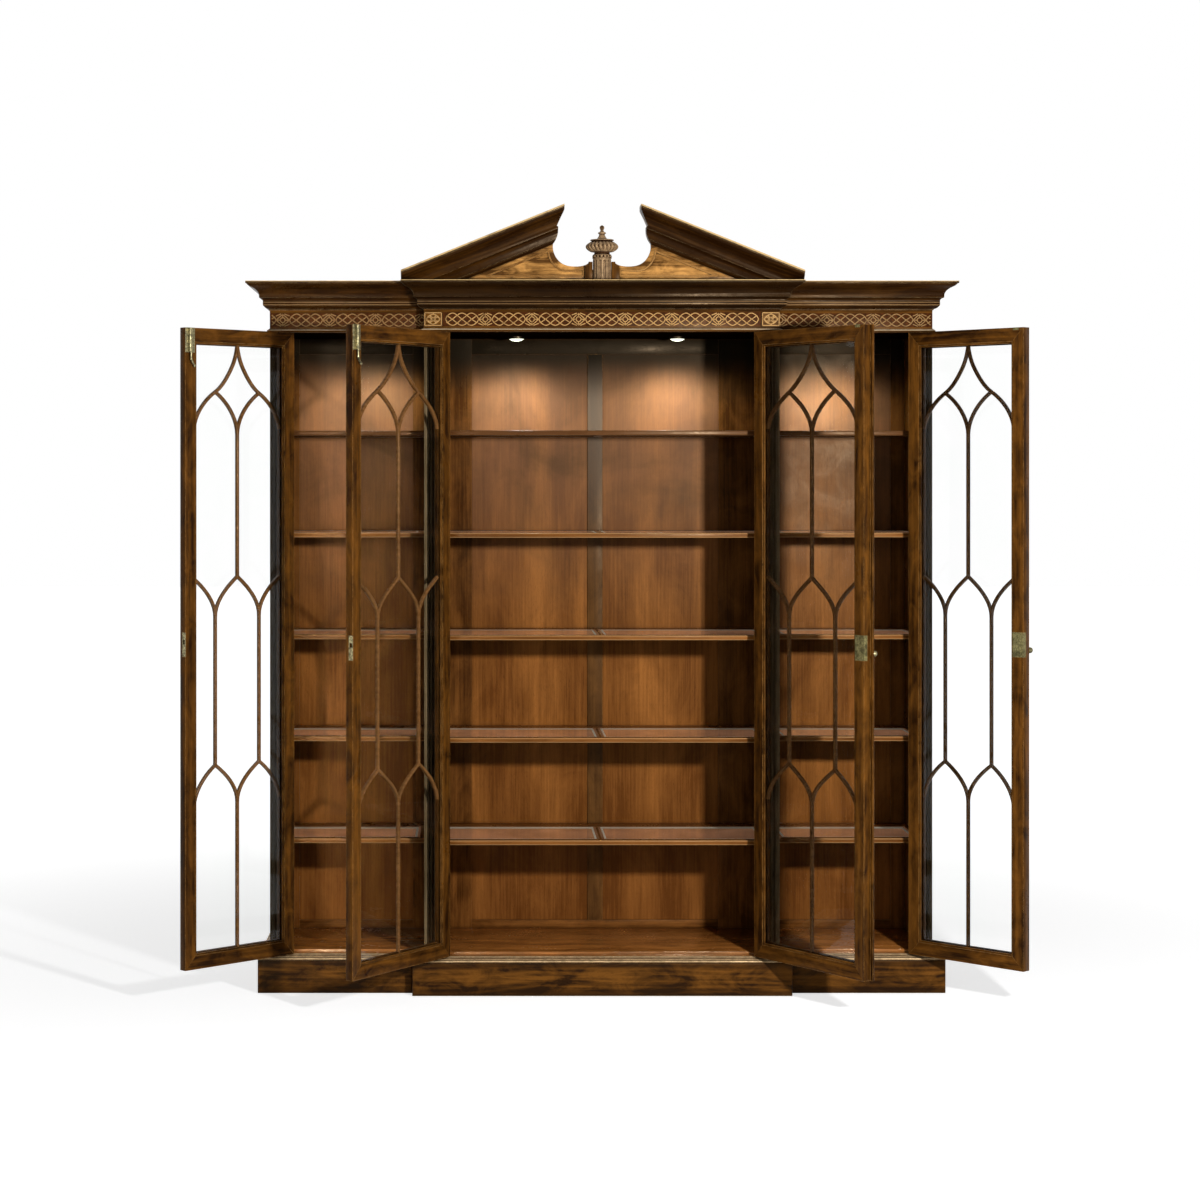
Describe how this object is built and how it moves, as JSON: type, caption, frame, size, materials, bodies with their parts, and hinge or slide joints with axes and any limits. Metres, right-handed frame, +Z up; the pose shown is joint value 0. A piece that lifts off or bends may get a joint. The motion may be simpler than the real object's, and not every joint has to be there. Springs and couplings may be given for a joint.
{
  "type": "breakfront display bookcase",
  "caption": "Breakfront glazed bookcase with a broken pediment and urn finial, pierced frieze, gothic glazing bars, hinged doors, framed glass shelves and ceiling lights.",
  "frame": {"origin": "on the floor at the centre of the wings' carcass, halfway between the wing boards' front edges and the back", "axes": "+X to the right seen from the front, -Y to the front, +Z up; all doors stand open in the rest pose"},
  "size_m": [2.5429, 0.8938, 2.422],
  "materials": {
    "dark_wood": "dark mahogany, rubbed satin polish, lighter on worn edges",
    "carved_wood": "golden brown carved mahogany with dark recesses, satin polish",
    "inner_wood": "red brown straight-grained veneer, satin",
    "plain_wood": "plain softwood, unpolished",
    "brass": "aged brass",
    "glass": "clear float glass",
    "lens": "frosted lamp lens",
    "dark_metal": "bronze painted ring"
  },
  "bodies": {
    "cabinet": {"back_frame": "inner_wood", "back_panels": "inner_wood", "base_moulding": "dark_wood", "ceiling_boards": "inner_wood", "cornice_covers": "plain_wood", "cornice_moulding": "dark_wood", "finial_pedestal": "carved_wood", "finial_urn": "carved_wood", "floor_boards": "inner_wood", "fretwork": "carved_wood", "frieze_bead": "dark_wood", "frieze_blocks": "carved_wood", "frieze_boards": "dark_wood", "hinge_leaves_fixed": "brass", "hinge_pins": "brass", "keepers": "brass", "light_housings": "dark_metal", "light_lenses": "lens", "partitions": "dark_wood", "pediment_blocks": "plain_wood", "pediment_rakes": "dark_wood", "pilasters": "dark_wood", "plinth_bearers": "plain_wood", "plinth_boards": "dark_wood", "shelf_glass": "glass", "shelves_centre": "inner_wood", "shelves_left": "inner_wood", "shelves_right": "inner_wood", "side_boards": "dark_wood", "tympanum": "carved_wood", "tympanum_bead": "carved_wood"},
    "door1": {"door1_bars": "dark_wood", "door1_brass": "brass", "door1_frame": "dark_wood", "door1_glass": "glass", "door1_leaves": "brass"},
    "door1_rod_body": {"door1_rod": "brass"},
    "door2": {"door2_bars": "dark_wood", "door2_brass": "brass", "door2_frame": "dark_wood", "door2_glass": "glass", "door2_leaves": "brass"},
    "door2_rod_body": {"door2_rod": "brass"},
    "door3": {"door3_bars": "dark_wood", "door3_brass": "brass", "door3_frame": "dark_wood", "door3_glass": "glass", "door3_leaves": "brass"},
    "door3_latch_body": {"door3_latch": "brass"},
    "door3_knob_body": {"door3_knob": "brass"},
    "door4": {"door4_bars": "dark_wood", "door4_brass": "brass", "door4_frame": "dark_wood", "door4_glass": "glass", "door4_leaves": "brass"},
    "door4_latch_body": {"door4_latch": "brass"},
    "door4_knob_body": {"door4_knob": "brass"}
  },
  "joints": [
    {"name": "door1_hinge", "type": "hinge", "parent": "cabinet", "child": "door1", "pos_m": [-0.966, -0.2285, 1.077], "axis": [0, 0, -1], "range_deg": [-137, 33]},
    {"name": "door2_hinge", "type": "hinge", "parent": "cabinet", "child": "door2", "pos_m": [-0.489, -0.2755, 1.077], "axis": [0, 0, -1], "range_deg": [-125, 45]},
    {"name": "door3_hinge", "type": "hinge", "parent": "cabinet", "child": "door3", "pos_m": [0.489, -0.2755, 1.077], "axis": [0, 0, 1], "range_deg": [-124.5, 45.5]},
    {"name": "door4_hinge", "type": "hinge", "parent": "cabinet", "child": "door4", "pos_m": [0.966, -0.2285, 1.077], "axis": [0, 0, 1], "range_deg": [-134.5, 35.5]},
    {"name": "door1_bolt_slide", "type": "slide", "parent": "door1", "child": "door1_rod_body", "axis": [0, 0, 1], "range_m": [0, 0.012]},
    {"name": "door2_bolt_slide", "type": "slide", "parent": "door2", "child": "door2_rod_body", "axis": [0, 0, 1], "range_m": [0, 0.012]},
    {"name": "door3_knob_turn", "type": "hinge", "parent": "door3", "child": "door3_knob_body", "pos_m": [0.75861, -0.66778, 1.072], "axis": [0.8241, 0.5664, 0], "range_deg": [0, 90]},
    {"name": "door3_latch_slide", "type": "slide", "parent": "door3", "child": "door3_latch_body", "axis": [0.5664, -0.8241, 0], "range_m": [0, 0.008]},
    {"name": "door4_knob_turn", "type": "hinge", "parent": "door4", "child": "door4_knob_body", "pos_m": [1.24917, -0.51665, 1.072], "axis": [0.7133, 0.7009, 0], "range_deg": [0, 90]},
    {"name": "door4_latch_slide", "type": "slide", "parent": "door4", "child": "door4_latch_body", "axis": [0.7009, -0.7133, 0], "range_m": [0, 0.008]}
  ],
  "couplings": [
    {"joint": "door3_latch_slide", "follows": "door3_knob_turn", "m_per_rad": 0.0050925},
    {"joint": "door4_latch_slide", "follows": "door4_knob_turn", "m_per_rad": 0.0050925}
  ]
}
